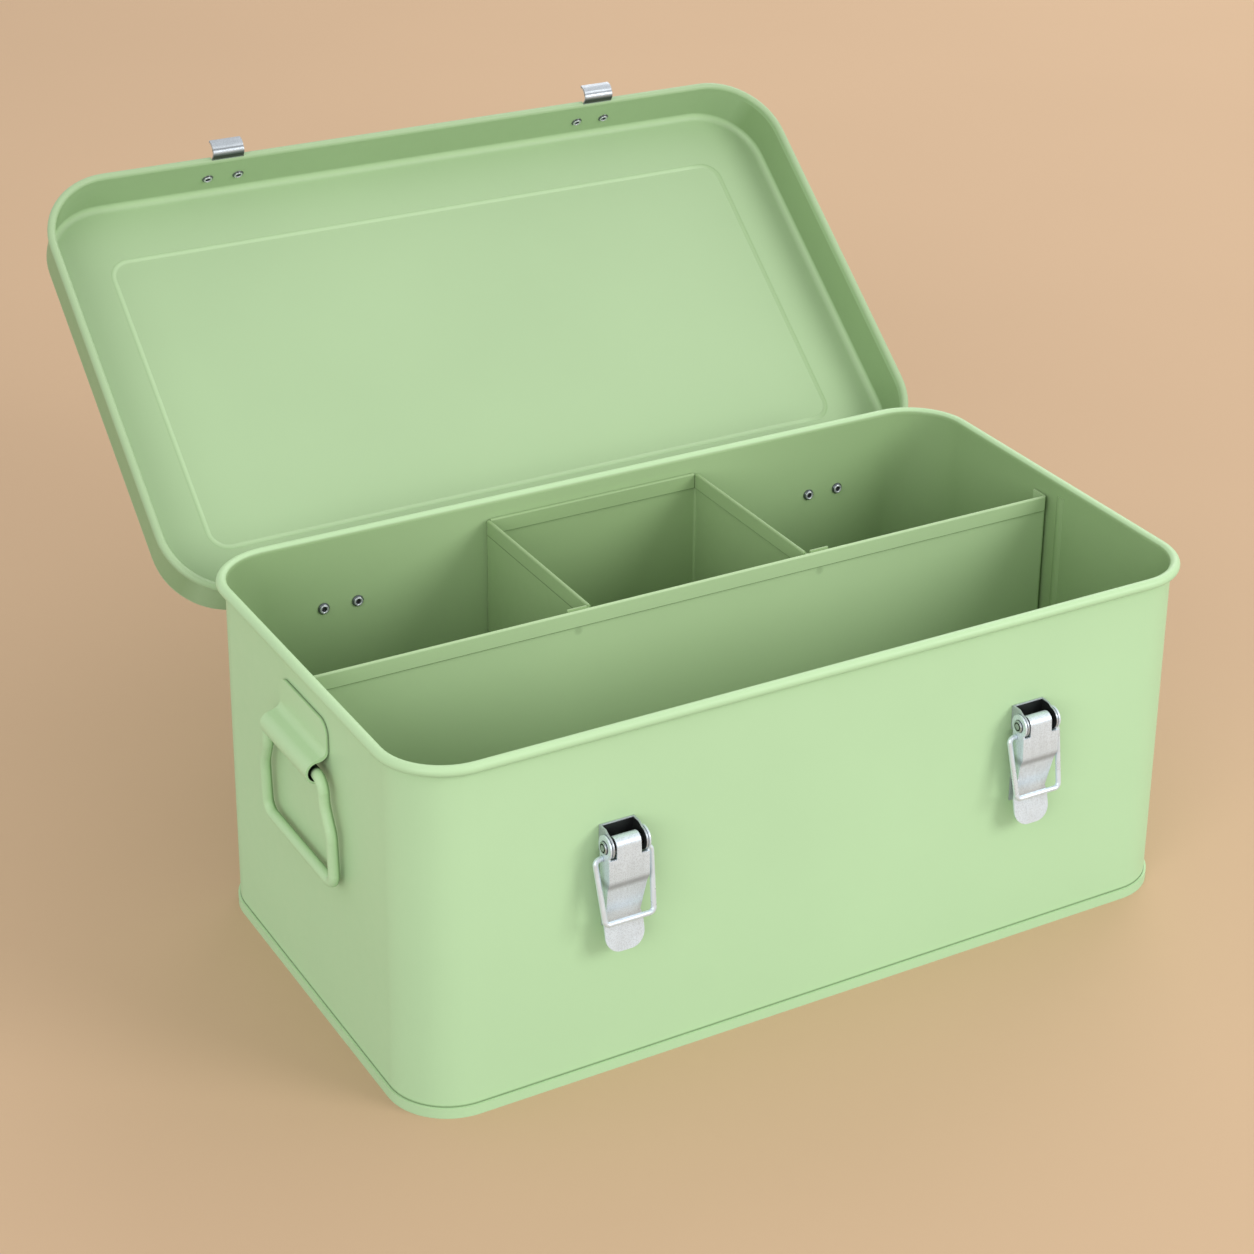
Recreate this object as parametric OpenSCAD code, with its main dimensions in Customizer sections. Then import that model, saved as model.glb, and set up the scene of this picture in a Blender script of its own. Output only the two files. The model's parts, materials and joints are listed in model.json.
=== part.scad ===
// Garden seed organizer box: a seamed sheet-steel tin with a hinged lid that opens past
// upright, a fixed divider insert, two draw latches and two drop handles.
// Sizes are in millimetres. The origin is on the floor below the middle of the box, +X is to
// the right, -Y is the front and +Z is up. The lid is drawn open on its stop, with the levers
// closed, and the latch bails and the handles hanging.
// "Out" is the distance outwards from the outer face of the body wall.

/* [Box] */
// Outer length of the body wall, left to right
body_l = 340; // [260:1:440]
// Outer depth of the body wall, front to back
body_w = 186; // [150:1:260]
// Height of the middle of the wired rim above the floor
rim_z = 144; // [135:1:200]
// Outer radius of the upright corners
corner_r = 24; // [16:0.5:36]
// Thickness of the body sheet
wall_t = 0.8; // [0.6:0.1:1.1]
// Diameter of the rolled edge with the rim wire inside it
rim_d = 4.2; // [3.6:0.1:4.8]
// Distance of the rim wire outside the wall face
rim_out = 1.4; // [1:0.1:1.8]
// Width of the lap seam inside the right wall
seam_w = 5; // [3:0.5:8]
// Height of the ridge along the lap seam
seam_t = 0.9; // [0.4:0.1:1.2]
// Distance of the lap seam in front of the middle
seam_front = 6; // [5:0.5:12]

/* [Base] */
// Height of the folded lip round the bottom edge
base_lip_h = 4.2; // [3.5:0.1:6]
// Height of the upper face of the bottom panel
base_floor_z = 4; // [3:0.1:5]
// Thickness of the base sheet
base_t = 0.9; // [0.7:0.1:1.2]

/* [Dividers] */
// Distance of the long divider behind the middle of the box
divider_y = 2.3; // [-20:0.1:20]
// Height of the divider tops above the floor
divider_top_z = 138; // [90:1:140]
// Thickness of the divider sheet
divider_t = 0.8; // [0.6:0.1:1.1]
// Height of the folded hem along the divider tops
hem_h = 6.7; // [4:0.1:10]
// Thickness that the folded hem adds
hem_t = 0.8; // [0.6:0.1:1]
// Gap between the ends of the long divider and the side walls
divider_end_gap = 0.8; // [0.5:0.1:0.9]
// Depth of the end flanges of the long divider
end_flange = 8.5; // [5:0.5:14]
// Distance between the middle planes of the rear divider arms
arm_spacing = 99; // [60:1:160]
// Width of the front flanges of the rear divider
arm_flange = 9.7; // [6:0.1:15]
// Height of the front flanges above the long divider
flange_rise = 0.6; // [0.2:0.1:2]
// Inside radius of the divider bends
divider_bend_r = 1; // [0.6:0.1:2]

/* [Lid] */
// Thickness of the lid sheet
lid_t = 0.8; // [0.7:0.1:1]
// Distance of the inner face of the lid skirt from the body wall
lid_out = 4.8; // [4.6:0.1:5.4]
// Inside radius of the rounded lid shoulder
shoulder_r = 3.2; // [3:0.1:3.6]
// Clearance between the closed lid and the rim
lid_seat_gap = 0.3; // [0.2:0.1:0.6]
// Height of the lid from its top face down to its lower edge
lid_h = 24.6; // [23.5:0.1:30]
// Diameter of the rolled edge round the bottom of the lid skirt
lid_bead_d = 3.4; // [2.8:0.1:3.8]
// Distance of the pressed frame line from the ends of the lid plate
panel_end = 21; // [16:0.5:60]
// Distance of the pressed frame line from the long sides of the lid plate
panel_side = 23; // [18:0.5:50]
// Depth to which the frame line is pressed in
panel_bead_h = 0.4; // [0.2:0.1:0.6]
// Width of the pressed frame line
panel_bead_w = 2.4; // [1.6:0.1:4]
// Corner radius of the pressed frame line
panel_r = 8; // [5:0.5:16]
// Angle of the open lid from closed
lid_open = 141; // [120:1:145]

/* [Hinges] */
// Distance of the middle of each hinge from the end of the box
hinge_end = 55.3; // [54.8:0.5:90]
// Width of a hinge
hinge_w = 28; // [24:0.5:36]
// Width of the middle knuckle, which belongs to the lid leaf
hinge_mid_w = 13.6; // [10:0.2:14]
// Thickness of the hinge leaves
hinge_t = 1.2; // [1:0.1:1.3]
// Distance of the hinge pin outside the body wall
hinge_out = 8.2; // [8:0.1:8.6]
// Height of the hinge pin above the lower edge of the lid
hinge_up = 1.3; // [0.8:0.1:2]
// Radius of the hinge pin
hinge_pin_r = 1.45; // [1.2:0.05:1.5]
// Distance between the two rivets of a hinge leaf
hinge_rivet_pitch = 14.8; // [10:0.1:20]
// Distance of the body leaf rivets below the hinge pin
hinge_rivet_drop = 9.4; // [8.5:0.1:14]
// Distance of the lid leaf rivets above the hinge pin
hinge_rivet_rise = 10.8; // [8.5:0.1:12]

/* [Latches] */
// Distance of the middle of each latch from the end of the box
latch_end = 79.5; // [50:0.5:100]
// Height of the lever pin above the floor
latch_pin_z = 100.5; // [90:0.5:101]
// Distance of the lever pin outside the wall
latch_pin_out = 6.5; // [6:0.1:7]
// Radius of the ends of the lever pin
latch_pin_r = 1.5; // [1.2:0.05:1.6]
// Radius of the thick middle of the lever pin
latch_core_r = 2.4; // [2:0.1:2.5]
// Thickness of the latch sheet
latch_t = 0.8; // [0.7:0.1:0.9]
// Width of the latch base at its rivets
latch_base_w = 12; // [10:0.5:13]
// Height of the latch base above the lever pin
latch_base_rise = 5.8; // [5.2:0.1:7]
// Distance of the upper latch rivet below the lever pin
latch_rivet_drop = 16; // [14:0.5:18]
// Distance between the two rivets of a latch base
latch_rivet_pitch = 16; // [12:0.5:18]
// Radius of the ears and the lever cheeks round the lever pin
ear_r = 4.5; // [4:0.1:4.7]
// Width of the rolled tongue of the lever
lever_roll_w = 10; // [8:0.2:10.4]
// Width of the lever at its shoulders
lever_w = 16.6; // [15:0.2:18]
// Width of the lever at its waist
lever_waist_w = 14.4; // [12:0.2:16]
// Width of the finger end of the lever
lever_tip_w = 16; // [14.6:0.2:18]
// Corner radius of the finger end
lever_tip_r = 6; // [4:0.5:7]
// Distance of the waist below the lever pin
lever_waist_drop = 30.5; // [28:0.5:32]
// Distance of the lever tip below the lever pin
lever_drop = 44; // [41:0.5:50]
// Distance of the bail pivot inwards from the lever pin
bail_pivot_in = 1.4; // [1:0.1:1.8]
// Distance of the bail pivot below the lever pin
bail_pivot_drop = 5.2; // [5:0.1:5.6]
// Diameter of the latch bail wire
bail_d = 2.1; // [1.6:0.1:2.2]
// Width of the latch bail over its wire at the pivots
bail_w = 25; // [24.6:0.1:28]
// Width of the latch bail over its wire at the bar
bail_bar_w = 22; // [21.6:0.1:24]
// Angle of the hanging latch bail away from the wall
bail_hang = 12.6; // [8:0.1:20]

/* [Catches] */
// Width of the catch hook
hook_w = 14; // [10:0.5:15]
// Width of the catch plate at its rivets
catch_w = 20; // [18:0.5:26]
// Thickness of the catch plate
catch_t = 1; // [0.8:0.1:1.2]
// Distance between the two rivets of a catch plate
catch_rivet_pitch = 14; // [11:0.5:15]
// Height of the catch rivets above the lower edge of the lid
catch_rivet_rise = 12.9; // [10:0.1:15]
// Inside radius of the upper bend of the hook
hook_bend_r = 2; // [1.5:0.1:3]
// Inside radius of the seat of the hook
hook_seat_r = 2.6; // [2:0.1:3.2]

/* [Handles] */
// Distance of the handles in front of the middle of the box
handle_front = 2.3; // [-10:0.1:10]
// Height of the rolled handle barrel
barrel_z = 113.5; // [100:0.5:115]
// Length of the handle barrel and its plate
barrel_l = 42.5; // [34:0.5:60]
// Outer radius of the handle barrel
barrel_r = 4.6; // [4.4:0.1:5]
// Thickness of the handle plate
handle_t = 1.2; // [1:0.1:1.4]
// Height of the upper edge of the handle plate above the barrel
plate_rise = 18.8; // [14:0.2:24]
// Diameter of the handle wire
handle_d = 4.4; // [3.8:0.1:4.6]
// Width of the handle over the middle of its wire
handle_w = 62; // [56:0.5:80]
// Width of the handle over the middle of its wire at the barrel
handle_neck_w = 52; // [50:0.5:56]
// Drop of the handle from the barrel to its bar
handle_drop = 42; // [34:0.5:60]
// Inside radius of the bends of the handle wire
handle_bend_r = 3; // [2:0.1:5]
// Angle of the hanging handle towards the wall
handle_lean = 1.5; // [0:0.1:2]

/* [Rivets] */
// Radius of the rivet shanks
rivet_r = 1.6; // [1.3:0.05:1.8]
// Radius of the rivet heads
rivet_head_r = 2.5; // [2.3:0.1:2.8]
// Radius of the eye in a hollow rivet
rivet_eye_r = 1; // [0.6:0.05:1.1]

/* [Clearances] */
// Gap between a plate and the wall that it is fixed to
seat_gap = 0.1; // [0.05:0.01:0.15]
// Gap between a pin or a rivet and its hole
pin_gap = 0.06; // [0.03:0.01:0.09]
// Gap between wires or levers and what they rest on
run_gap = 0.3; // [0.25:0.01:0.4]

/* [Hidden] */
$fn = 48;
// Straight runs of sheet and wire lap into the bends and are this much thinner on each side
joint_lap = 0.1;
joint_step = 0.01;
body_green = "#B8D6A3";
inner_green = "#A9C893";
steel = "#C9CBCC";
pin_steel = "#A9ACAF";

// Base
wall_z0 = base_t + seat_gap;
rim_top = rim_z + rim_d / 2;

// Dividers
inner_l = body_l - 2 * wall_t;
inner_w = body_w - 2 * wall_t;
divider_z0 = base_floor_z + seat_gap;
divider_front = divider_y - divider_t / 2;
divider_back = divider_y + divider_t / 2;
rear_panel_y = inner_w / 2 - run_gap - divider_t / 2;
web_top = divider_top_z - (divider_t + hem_t) / 2;

// Lid, in its closed place
lid_under = rim_top + lid_seat_gap;
lid_top = lid_under + lid_t;
lid_rim_z = lid_top - lid_h;
lid_face = lid_out + lid_t;
shoulder_out = lid_out - shoulder_r;
shoulder_z = lid_under - shoulder_r;
bead_out = lid_out + lid_bead_d / 2 - joint_lap;
bead_z = lid_rim_z + lid_bead_d / 2;
bead_top = lid_rim_z + lid_bead_d;

// Hinges
hinge_y = body_w / 2 + hinge_out;
hinge_z = lid_rim_z + hinge_up;
knuckle_in = hinge_pin_r + pin_gap;
knuckle_r = knuckle_in + hinge_t;
leaf_out = seat_gap + hinge_t;
pin_head_t = 0.6;
hinge_notch_w = hinge_w + 2 * (pin_head_t + seat_gap + 2 * run_gap);
hinge_notch_rise = 1.4;
knuckle_w = (hinge_w - hinge_mid_w) / 2 - 2 * seat_gap;
hinge_x = body_l / 2 - hinge_end;
// Rise from the body leaf to its knuckles, below the underside of the knuckles
joggle_low = 4.4;
joggle_high = 1.9;
leaf_plate_drop = 3.4;
leaf_tab_rise = 1.2;
leaf_margin = 6;

// Latches, seen from the side as [out, height]
latch_x = body_l / 2 - latch_end;
latch_pin_at = [latch_pin_out, latch_pin_z];
latch_w = lever_w - 2 * (latch_t + run_gap);
latch_out = seat_gap + latch_t;
base_top = latch_pin_z + latch_base_rise;
// Straight edges run into the round of an ear just inside it
ear_in = 0.98 * ear_r;
ear_top_out = 3.5;
pin_head_w = 0.8;
roll_in = latch_core_r + pin_gap;
roll_r = roll_in + latch_t;
// The shoulders swing clear of the ears
shoulder_drop = sqrt(pow(ear_r + run_gap, 2) - pow(roll_in, 2));
// The face stands out most at its bend, steps in below it and ends in a tip that is bent out
lever_crown = 0.6;
lever_bend_drop = 13.5;
lever_step = 1.6;
lever_step_h = 3.5;
lever_waist_in = 0.9;
lever_tip_out = 2.2;
// Front of the lever face as points [out, height]
lever_front = [
    latch_pin_at + [roll_r, 0],
    latch_pin_at + [roll_r + lever_crown / 2, -shoulder_drop],
    latch_pin_at + [roll_r + lever_crown, -lever_bend_drop],
    latch_pin_at + [roll_r + lever_crown - lever_step, -lever_bend_drop - lever_step_h],
    latch_pin_at + [-lever_waist_in, -lever_waist_drop],
    latch_pin_at + [lever_tip_out, -lever_drop]];
bail_pivot_out = latch_pin_out - bail_pivot_in;
bail_pivot_z = latch_pin_z - bail_pivot_drop;
latch_rivet_z = [latch_pin_z - latch_rivet_drop,
    latch_pin_z - latch_rivet_drop - latch_rivet_pitch];
latch_base_end = 4.5;

// Catch hook, seen from the side: it runs down the skirt, turns out and curls up
catch_out = lid_face + seat_gap;
catch_margin = 4.5;
catch_wide_z0 = bead_top + 0.8;
hook_turn = 68;
hook_curl = 50;
hook_run = 1.6;
hook_tip = 1.3;
hook_bend_z = lid_rim_z - 1.4;
bend_mid_r = hook_bend_r + catch_t / 2;
seat_mid_r = hook_seat_r + catch_t / 2;
hook_slope = 90 - hook_turn;
hook_seat_out = catch_out + catch_t / 2 + bend_mid_r * (1 - sin(hook_slope))
    + hook_run * cos(hook_slope) + seat_mid_r * sin(hook_slope);
hook_centre_z = hook_bend_z - bend_mid_r * cos(hook_slope) - hook_run * sin(hook_slope)
    + seat_mid_r * cos(hook_slope);
hook_seat_z = hook_centre_z - hook_seat_r + bail_d / 2 + run_gap;
catch_top = lid_rim_z + catch_rivet_rise + catch_margin;

// The bail just reaches from its pivot to the seat of the hook
bail_len = norm([hook_seat_out - bail_pivot_out, hook_seat_z - bail_pivot_z]);
// Turn of the bail from hanging to hooked
bail_hook_turn = 90 - bail_hang + atan2(hook_seat_z - bail_pivot_z, hook_seat_out - bail_pivot_out);

// Handles
barrel_in = barrel_r - handle_t;
barrel_gap = 0.4;
barrel_out = barrel_r + barrel_gap;
handle_wire_z = barrel_z - (barrel_in - handle_d / 2 - run_gap);

// Two-dimensional sheet of thickness t that starts along +x and follows [run, turn, radius]
// steps, where radius is the inside radius of the bend
module sheet_path(steps, t, i = 0) {
    if (i < len(steps)) {
        run = steps[i][0];
        turn = steps[i][1];
        mid_r = steps[i][2] + t / 2;
        side = turn < 0 ? -1 : 1;
        lap = [i > 0 ? joint_lap : 0, turn != 0 ? joint_lap : 0];
        translate([-lap[0], joint_step - t / 2])
            square([run + lap[0] + lap[1], t - 2 * joint_step]);
        translate([run, 0]) {
            if (turn != 0)
                translate([0, side * mid_r])
                    ring_sector(mid_r, t, -90 * side, abs(turn), side);
            translate([mid_r * sin(abs(turn)), side * mid_r * (1 - cos(turn))])
                rotate(turn)
                    sheet_path(steps, t, i + 1);
        }
    }
}

// Part of a flat ring, from a start angle through a sweep to one side
module ring_sector(mid_r, t, start, sweep, side) {
    reach = 2 * (mid_r + t);
    parts = ceil(sweep / 60);
    intersection() {
        difference() {
            circle(r = mid_r + t / 2);
            circle(r = mid_r - t / 2);
        }
        polygon(concat([[0, 0]], [for (k = [0:parts])
            reach * [cos(start + side * k * sweep / parts), sin(start + side * k * sweep / parts)]]));
    }
}

// Round wire that starts along +X and follows [run, turn, radius] steps in the XY plane,
// where radius is that of the wire's middle
module wire_path(steps, d, i = 0) {
    if (i < len(steps)) {
        run = steps[i][0];
        turn = steps[i][1];
        bend_r = steps[i][2];
        side = turn < 0 ? -1 : 1;
        lap = [i > 0 ? joint_lap : 0, turn != 0 ? joint_lap : 0];
        translate([-lap[0], 0, 0])
            rotate([0, 90, 0])
                cylinder(d = d - 2 * joint_step, h = run + lap[0] + lap[1], $fn = 24);
        translate([run, 0, 0]) {
            if (turn != 0)
                translate([0, side * bend_r, 0])
                    rotate([0, 0, turn < 0 ? 90 + turn : -90])
                        rotate_extrude(angle = abs(turn))
                            translate([bend_r, 0])
                                circle(d = d, $fn = 24);
            translate([bend_r * sin(abs(turn)), side * bend_r * (1 - cos(turn)), 0])
                rotate([0, 0, turn])
                    wire_path(steps, d, i + 1);
        }
    }
}

// Sweeps a profile round a rounded rectangle: its x is out from the edge and its y is up
module round_a_loop(l, w, r) {
    for (k = [0:3]) {
        reach = (k % 2 == 0 ? l : w) / 2;
        half = (k % 2 == 0 ? w : l) / 2 - r;
        rotate([0, 0, 90 * k]) {
            translate([reach, half, 0])
                rotate([90, 0, 0])
                    linear_extrude(2 * half)
                        children();
            translate([reach - r, half, 0])
                rotate_extrude(angle = 90, $fn = 64)
                    translate([r, 0])
                        children();
        }
    }
}

module round_the_box() {
    round_a_loop(body_l, body_w, corner_r)
        children();
}

module rounded_rect(l, w, r) {
    square([l, w - 2 * r], center = true);
    square([l - 2 * r, w], center = true);
    for (sx = [-1, 1], sy = [-1, 1])
        translate([sx * (l / 2 - r), sy * (w / 2 - r)])
            circle(r = r);
}

// Extrudes a side view [out, height] to both sides of the YZ plane, with out along +Y
module side_view(w) {
    translate([-w / 2, 0, 0])
        rotate([90, 0, 90])
            linear_extrude(w)
                children();
}

// Puts a fitting that faces +Y on the front, back or side wall
module on_front(x) {
    translate([x, -body_w / 2, 0])
        rotate([0, 0, 180])
            children();
}

module on_back(x) {
    translate([x, body_w / 2, 0])
        children();
}

module on_side(side) {
    translate([side * body_l / 2, -handle_front, 0])
        rotate([0, 0, -90 * side])
            children();
}

// Swings what is drawn in the closed place of the lid back to the open lid
module lid_opened() {
    translate([0, hinge_y, hinge_z])
        rotate([-lid_open, 0, 0])
            translate([0, -hinge_y, -hinge_z])
                children();
}

// Hole along Y through everything between two out distances
module hole_y(x, z, from, to, r) {
    translate([x, from, z])
        rotate([-90, 0, 0])
            cylinder(r = r, h = to - from);
}

// Hollow rivet along +Y: the eyed head is at the low end and the closed one at the high end
module rivet(from, to, eye_head, shut_head) {
    rotate([-90, 0, 0])
        rotate_extrude()
            polygon([
                [rivet_eye_r, from - eye_head], [rivet_head_r - 0.4, from - eye_head],
                [rivet_head_r, from - eye_head / 3], [rivet_head_r, from],
                [rivet_r, from], [rivet_r, to], [rivet_head_r, to],
                [rivet_head_r - 0.5, to + shut_head], [0, to + shut_head],
                [0, from + 0.6], [rivet_eye_r, from + 0.6]]);
}

// Body: wall, rolled rim and lap seam in one wrapped sheet
module body_shell() {
    color(body_green)
        difference() {
            union() {
                round_the_box() {
                    union() {
                        translate([-wall_t, wall_z0])
                            square([wall_t, rim_z - wall_z0]);
                        translate([rim_out, rim_z])
                            circle(d = rim_d, $fn = 32);
                    }
                }
                lap_seam();
            }
            for (s = [-1, 1], p = [-1, 1])
                on_back(s * hinge_x)
                    hole_y(p * hinge_rivet_pitch / 2, hinge_z - hinge_rivet_drop,
                        -wall_t - 1, 1, rivet_r + pin_gap);
            for (s = [-1, 1], z = latch_rivet_z)
                on_front(s * latch_x)
                    hole_y(0, z, -wall_t - 1, 1, rivet_r + pin_gap);
        }
}

// Rounded ridge where the ends of the wrapped sheet overlap
module lap_seam() {
    seam_z0 = divider_z0 + 1;
    seam_r = (pow(seam_w / 2, 2) + pow(seam_t, 2)) / (2 * seam_t);
    translate([inner_l / 2 + seam_r - seam_t, -seam_front, seam_z0])
        intersection() {
            cylinder(r = seam_r, h = rim_z - rim_d - seam_z0, $fn = 96);
            translate([-seam_r, -seam_w / 2 - 1, 0])
                cube([seam_t + wall_t / 2, seam_w + 2, rim_z]);
        }
}

// Base: its lip is folded up round the wall in a channel
module base_pan() {
    lip_in = wall_t + seat_gap + base_t;
    color(body_green) {
        round_the_box()
            union() {
                translate([-lip_in, 0])
                    square([lip_in + seat_gap + base_t, base_t]);
                translate([seat_gap, 0])
                    square([base_t, base_lip_h]);
                translate([-lip_in, 0])
                    square([base_t, base_floor_z]);
            }
        translate([0, 0, base_floor_z - base_t])
            linear_extrude(base_t)
                rounded_rect(body_l - 2 * lip_in + base_t, body_w - 2 * lip_in + base_t,
                    corner_r - lip_in + base_t / 2);
    }
}

// Hem along a divider top: the sheet folds over and down, seen from its end with the outer
// face at 0 and the folded side towards +x
module hem_profile() {
    r = (divider_t + hem_t) / 2;
    square([2 * r, hem_h - r]);
    translate([r, hem_h - r])
        intersection() {
            circle(r = r);
            translate([-r, 0])
                square([2 * r, r]);
        }
}

// Straight hem along +X that folds towards +Y
module hem_run(run) {
    translate([0, 0, divider_top_z - hem_h])
        rotate([90, 0, 90])
            linear_extrude(run)
                hem_profile();
}

// Long divider: the hem faces the front and the end flanges turn to the back
module main_divider() {
    half = inner_l / 2 - divider_end_gap;
    flange = end_flange - divider_bend_r - divider_t / 2;
    bend = divider_bend_r + divider_t;
    color(inner_green) {
        translate([0, 0, divider_z0])
            linear_extrude(web_top - divider_z0)
                translate([-half + divider_t / 2, divider_y + end_flange])
                    rotate(-90)
                        sheet_path([[flange, 90, divider_bend_r],
                            [2 * half - 2 * bend, 90, divider_bend_r], [flange, 0, 0]], divider_t);
        translate([half - bend, divider_back, 0])
            rotate([0, 0, 180])
                hem_run(2 * half - 2 * bend);
    }
}

// Rear divider: a three-sided insert whose front flanges are welded to the long divider
module rear_divider() {
    r = divider_bend_r;
    t = divider_t;
    front = divider_back + seat_gap + t / 2;
    bend = r + t / 2;
    arm = rear_panel_y - front - 2 * bend;
    flange = arm_flange - bend;
    panel = arm_spacing - 2 * bend;
    color(inner_green) {
        translate([0, 0, divider_z0])
            linear_extrude(web_top - divider_z0)
                translate([-arm_spacing / 2 - arm_flange, front])
                    sheet_path([[flange, 90, r], [arm, -90, r], [panel, -90, r], [arm, 90, r],
                        [flange, 0, 0]], t);
        // The flanges end a little above the long divider
        for (s = [-1, 1])
            translate([s * (arm_spacing / 2 + arm_flange - flange / 2), front, web_top])
                translate([-flange / 2, joint_step - t / 2, -joint_lap])
                    cube([flange, t - 2 * joint_step,
                        divider_top_z + flange_rise - web_top + joint_lap]);
        translate([-arm_spacing / 2 - t / 2, front + bend + arm, 0])
            rotate([0, 0, -90])
                hem_run(arm);
        translate([arm_spacing / 2 + t / 2, front + bend, 0])
            rotate([0, 0, 90])
                hem_run(arm);
        translate([panel / 2, rear_panel_y + t / 2, 0])
            rotate([0, 0, 180])
                hem_run(panel);
    }
}

// Lid: drawn in its closed place, with a rolled lower edge that stops at hinges and catches
module lid_shell() {
    color(body_green)
        lid_opened()
            difference() {
                union() {
                    round_the_box()
                        lid_profile();
                    lid_plate();
                }
                for (s = [-1, 1]) {
                    on_front(s * latch_x)
                        translate([-hook_w / 2 - run_gap, lid_face, lid_rim_z - 1])
                            cube([hook_w + 2 * run_gap, lid_bead_d, 1 + lid_bead_d + run_gap]);
                    on_back(s * hinge_x)
                        translate([-hinge_notch_w / 2, lid_out - 1, lid_rim_z - 1])
                            cube([hinge_notch_w, lid_bead_d + 2,
                                hinge_up + knuckle_r + hinge_notch_rise]);
                    for (p = [-1, 1]) {
                        on_front(s * latch_x)
                            hole_y(p * catch_rivet_pitch / 2, lid_rim_z + catch_rivet_rise,
                                lid_out - 1, lid_face + 1, rivet_r + pin_gap);
                        on_back(s * hinge_x)
                            hole_y(p * hinge_rivet_pitch / 2, hinge_z + hinge_rivet_rise,
                                lid_out - 1, lid_face + 1, rivet_r + pin_gap);
                    }
                }
            }
}

// Skirt, shoulder and rolled edge of the lid as one profile
module lid_profile() {
    translate([lid_out, lid_rim_z + lid_bead_d / 2])
        square([lid_t, shoulder_z - lid_rim_z - lid_bead_d / 2]);
    translate([shoulder_out, shoulder_z])
        ring_sector(shoulder_r + lid_t / 2, lid_t, 0, 90, 1);
    translate([shoulder_out - 1, lid_under])
        square([1, lid_t]);
    translate([bead_out, bead_z])
        circle(d = lid_bead_d, $fn = 32);
}

// Flat top of the lid with a frame line pressed into it
module lid_plate() {
    edge = shoulder_out - 0.5;
    difference() {
        union() {
            translate([0, 0, lid_under])
                linear_extrude(lid_t)
                    rounded_rect(body_l + 2 * edge, body_w + 2 * edge, corner_r + edge);
            frame_line(lid_under + lid_t / 2)
                translate([0, lid_under])
                    bead_segment();
        }
        frame_line(lid_top + 1)
            translate([0, lid_top])
                bead_segment();
    }
}

// Runs a bead round the lid plate and stops it at a height
module frame_line(z_max) {
    round_a_loop(body_l - 2 * panel_end, body_w - 2 * panel_side, panel_r)
        intersection() {
            children();
            translate([-panel_bead_w, z_max - 5])
                square([2 * panel_bead_w, 5]);
        }
}

// Circle whose lower end reaches below 0 by the depth of the bead
module bead_segment() {
    r = (pow(panel_bead_w / 2, 2) + pow(panel_bead_h, 2)) / (2 * panel_bead_h);
    translate([0, r - panel_bead_h])
        circle(r = r, $fn = 96);
}

// Body leaf of a hinge, facing +Y: a riveted plate with two knuckles and a flat middle tab
module hinge_body_leaf() {
    leaf_z0 = hinge_z - hinge_rivet_drop - leaf_margin;
    tab_z = hinge_z - knuckle_r - run_gap;
    color(steel)
        difference() {
            union() {
                side_view(hinge_w)
                    translate([seat_gap, leaf_z0])
                        square([hinge_t, tab_z - leaf_plate_drop - leaf_z0]);
                side_view(hinge_mid_w)
                    translate([seat_gap, leaf_z0])
                        square([hinge_t, tab_z + leaf_tab_rise - leaf_z0]);
                for (s = [-1, 1])
                    translate([s * (hinge_w - knuckle_w) / 2, 0, 0])
                        side_view(knuckle_w) {
                            polygon([[seat_gap, tab_z - joggle_low],
                                [leaf_out, tab_z - leaf_plate_drop - joint_lap],
                                [hinge_out + 0.5, hinge_z - knuckle_in - hinge_t / 2],
                                [hinge_out - 0.8, hinge_z - knuckle_in - hinge_t / 6],
                                [seat_gap, tab_z - joggle_high]]);
                            translate([hinge_out, hinge_z])
                                circle(r = knuckle_r, $fn = 32);
                        }
            }
            translate([-hinge_w, hinge_out, hinge_z])
                rotate([0, 90, 0])
                    cylinder(r = knuckle_in, h = 2 * hinge_w);
            for (p = [-1, 1])
                hole_y(p * hinge_rivet_pitch / 2, hinge_z - hinge_rivet_drop, -1, leaf_out + 1,
                    rivet_r + pin_gap);
        }
}

// Lid leaf of a hinge, facing +Y in the closed place: the stop lug meets the body leaf
module hinge_lid_leaf() {
    leaf_z1 = hinge_z + hinge_rivet_rise + leaf_margin - 1;
    plate_z0 = hinge_z + knuckle_r + 1;
    stop_face = hinge_out - leaf_out - seat_gap;
    stop_reach = 5.4;
    stop_w = 1.5;
    color(steel)
        difference() {
            union() {
                side_view(hinge_w)
                    translate([lid_face + seat_gap, plate_z0])
                        square([hinge_t, leaf_z1 - plate_z0]);
                side_view(hinge_mid_w - 4 * seat_gap) {
                    translate([lid_face + seat_gap, hinge_z])
                        square([hinge_t, plate_z0 + 1 - hinge_z]);
                    translate([hinge_out, hinge_z])
                        circle(r = knuckle_r, $fn = 32);
                    translate([hinge_out, hinge_z])
                        rotate(lid_open)
                            polygon([[-1.2, -2.2], [-stop_face, -stop_reach],
                                [-stop_face, stop_w - stop_reach], [-2, -0.9]]);
                }
            }
            translate([-hinge_w, hinge_out, hinge_z])
                rotate([0, 90, 0])
                    cylinder(r = knuckle_in, h = 2 * hinge_w);
            for (p = [-1, 1])
                hole_y(p * hinge_rivet_pitch / 2, hinge_z + hinge_rivet_rise, lid_face - 1,
                    lid_face + hinge_t + 2, rivet_r + pin_gap);
        }
}

module hinge_pin() {
    head_r = knuckle_in + 0.5;
    grip = hinge_w + 2 * seat_gap;
    color(pin_steel)
        translate([-hinge_w / 2 - seat_gap - pin_head_t, hinge_out, hinge_z])
            rotate([0, 90, 0])
                rotate_extrude()
                    polygon([[0, 0], [head_r, 0], [head_r, pin_head_t],
                        [hinge_pin_r, pin_head_t], [hinge_pin_r, pin_head_t + grip],
                        [head_r, pin_head_t + grip], [head_r, 2 * pin_head_t + grip],
                        [0, 2 * pin_head_t + grip]]);
}

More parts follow.
